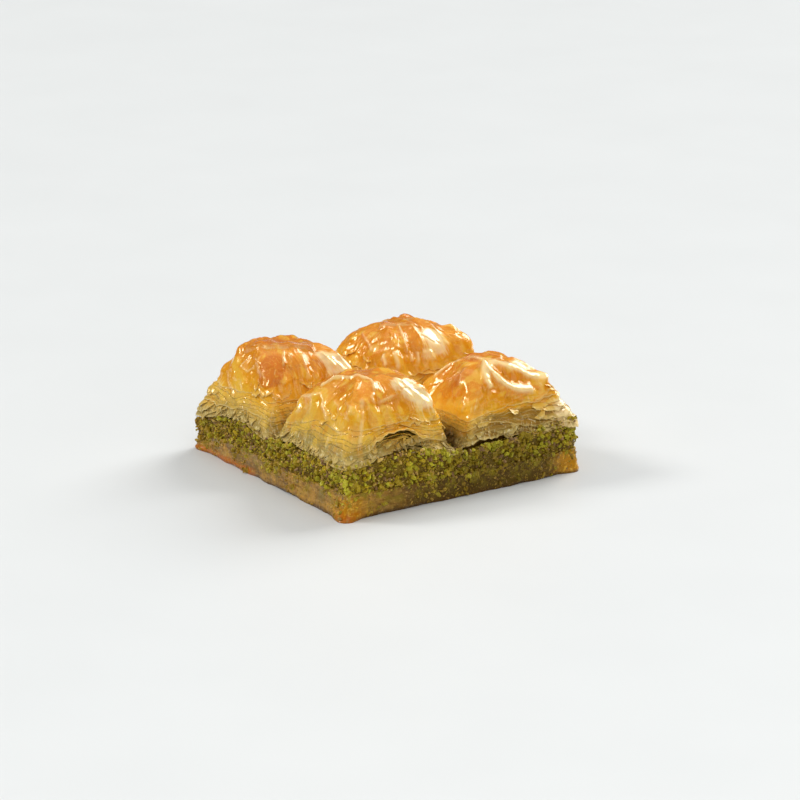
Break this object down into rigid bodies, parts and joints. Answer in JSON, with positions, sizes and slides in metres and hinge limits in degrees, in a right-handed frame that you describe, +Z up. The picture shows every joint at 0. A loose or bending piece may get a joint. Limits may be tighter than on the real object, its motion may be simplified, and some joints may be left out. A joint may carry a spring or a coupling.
{
  "type": "baklava square",
  "caption": "Square of pistachio baklava: soaked filo base, ground nut layer and risen golden filo mounds left by a cross cut.",
  "frame": {"origin": "middle of the flat underside, on the surface that the square rests on", "axes": "+Z up through the layers, X and Y along the cut sides of the square"},
  "size_m": [0.0927, 0.0928, 0.0399],
  "materials": {
    "soaked_filo": "syrup-soaked filo, amber brown, wet and slightly translucent",
    "ground_pistachio": "ground pistachio, lime to olive green with purple-brown skins",
    "golden_filo": "baked filo glazed with syrup, cream at the cut sides and golden amber on top"
  },
  "bodies": {
    "root": {"base_filo": "soaked_filo", "pistachio_filling": "ground_pistachio", "crust_near": "golden_filo", "crust_right": "golden_filo", "crust_left": "golden_filo", "crust_far": "golden_filo"}
  },
  "joints": []
}
